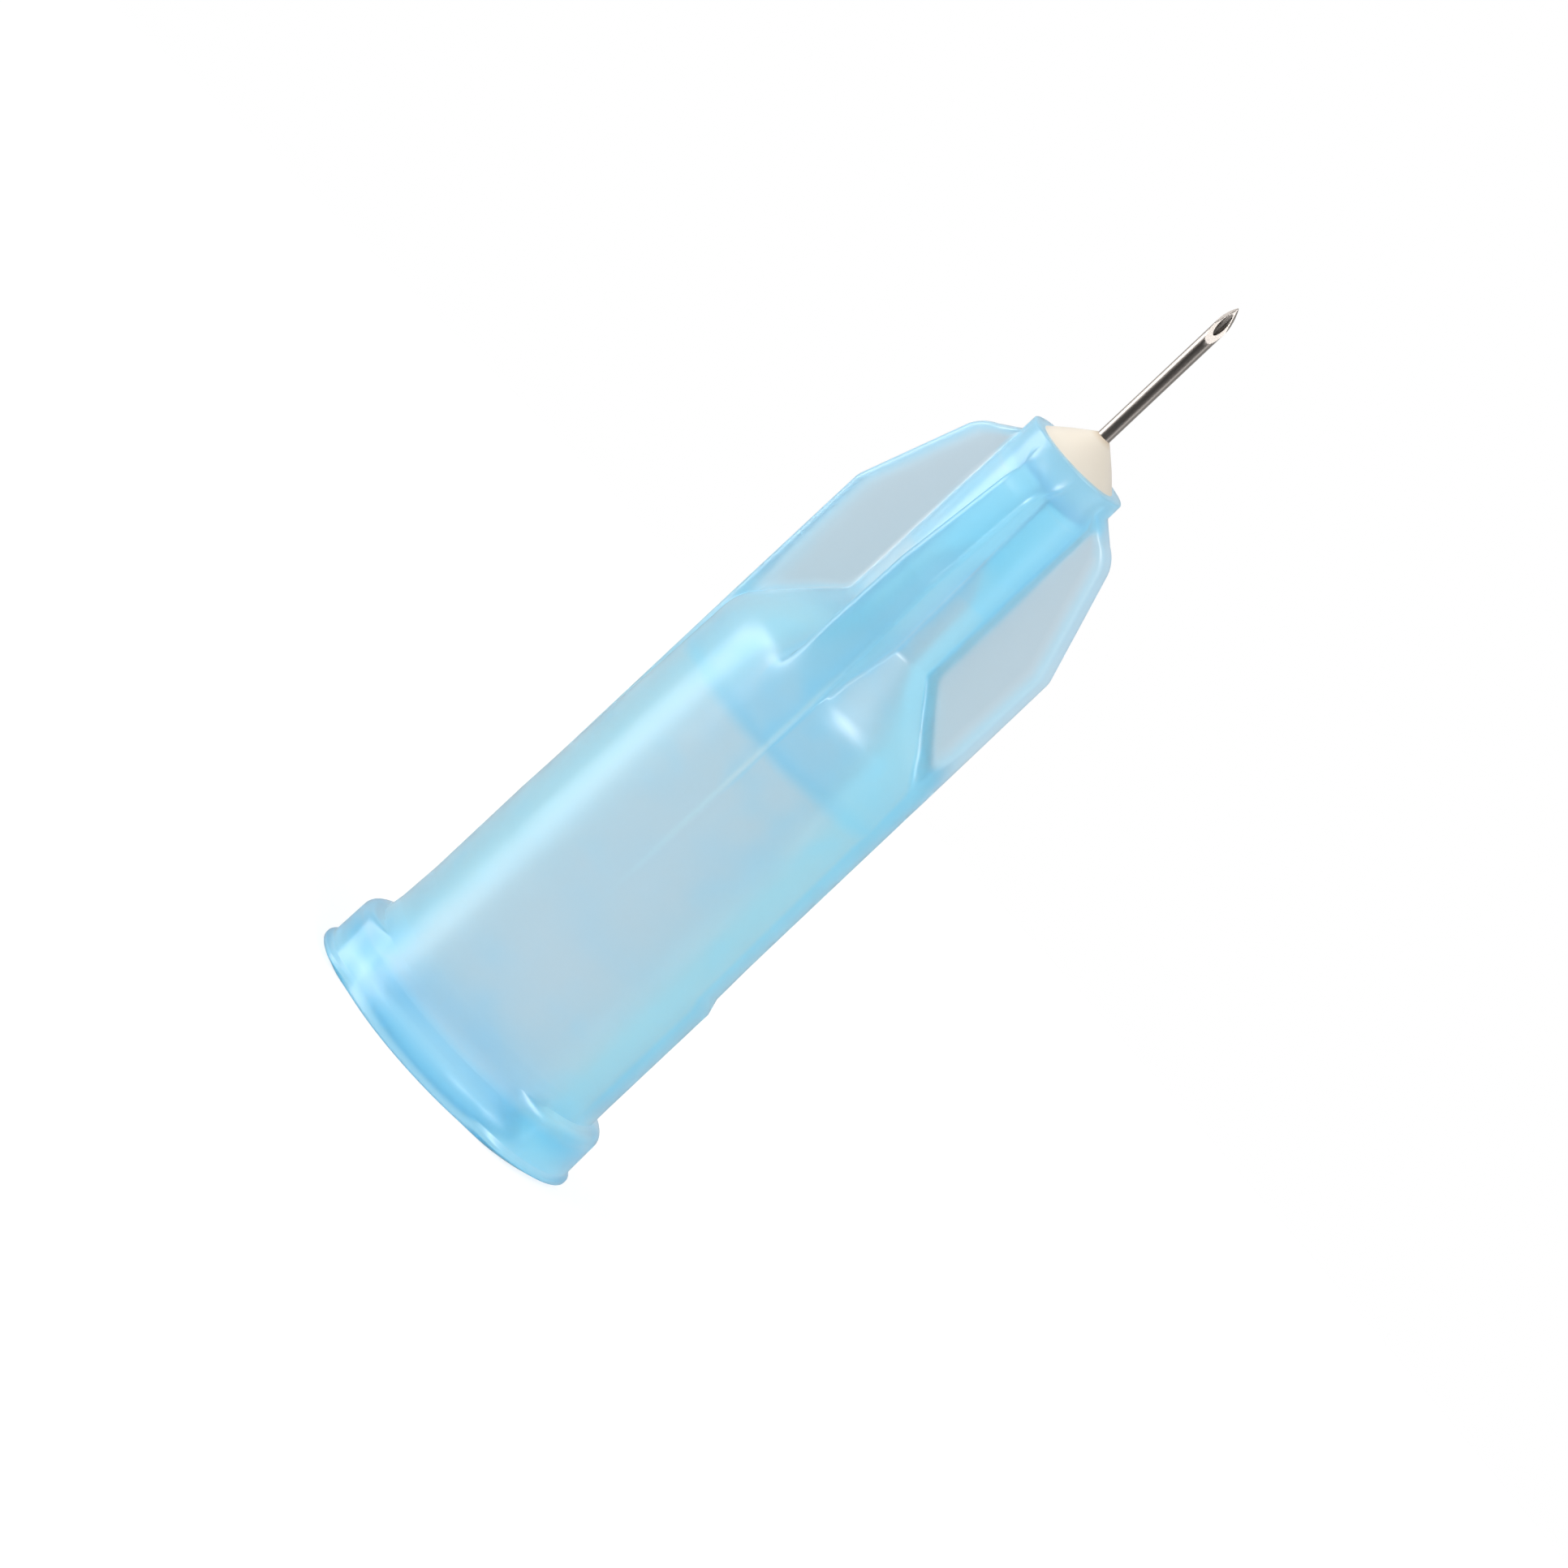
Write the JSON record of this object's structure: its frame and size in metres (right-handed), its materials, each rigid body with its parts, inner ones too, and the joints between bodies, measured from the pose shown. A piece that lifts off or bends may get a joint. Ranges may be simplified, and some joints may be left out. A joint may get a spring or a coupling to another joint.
{
  "type": "mesotherapy needle",
  "caption": "Short fine injection needle: a steel cannula glued into a blue translucent winged hub with a female Luer-lock socket.",
  "frame": {"origin": "centre of the hub's rear face, which the needle stands on", "axes": "+Z along the cannula towards its point; the four fins point along +X, -X, +Y and -Y; the raised pad is on +X"},
  "size_m": [0.0078, 0.007, 0.025],
  "materials": {
    "blue_polypropylene": "translucent sky blue moulded polypropylene, semi-gloss",
    "cured_epoxy": "cured cream epoxy, smooth and slightly glossy",
    "stainless_steel": "drawn and electropolished stainless tube, ground bright at the point"
  },
  "bodies": {
    "root": {"hub": "blue_polypropylene", "resin_plug": "cured_epoxy", "cannula": "stainless_steel"}
  },
  "joints": []
}
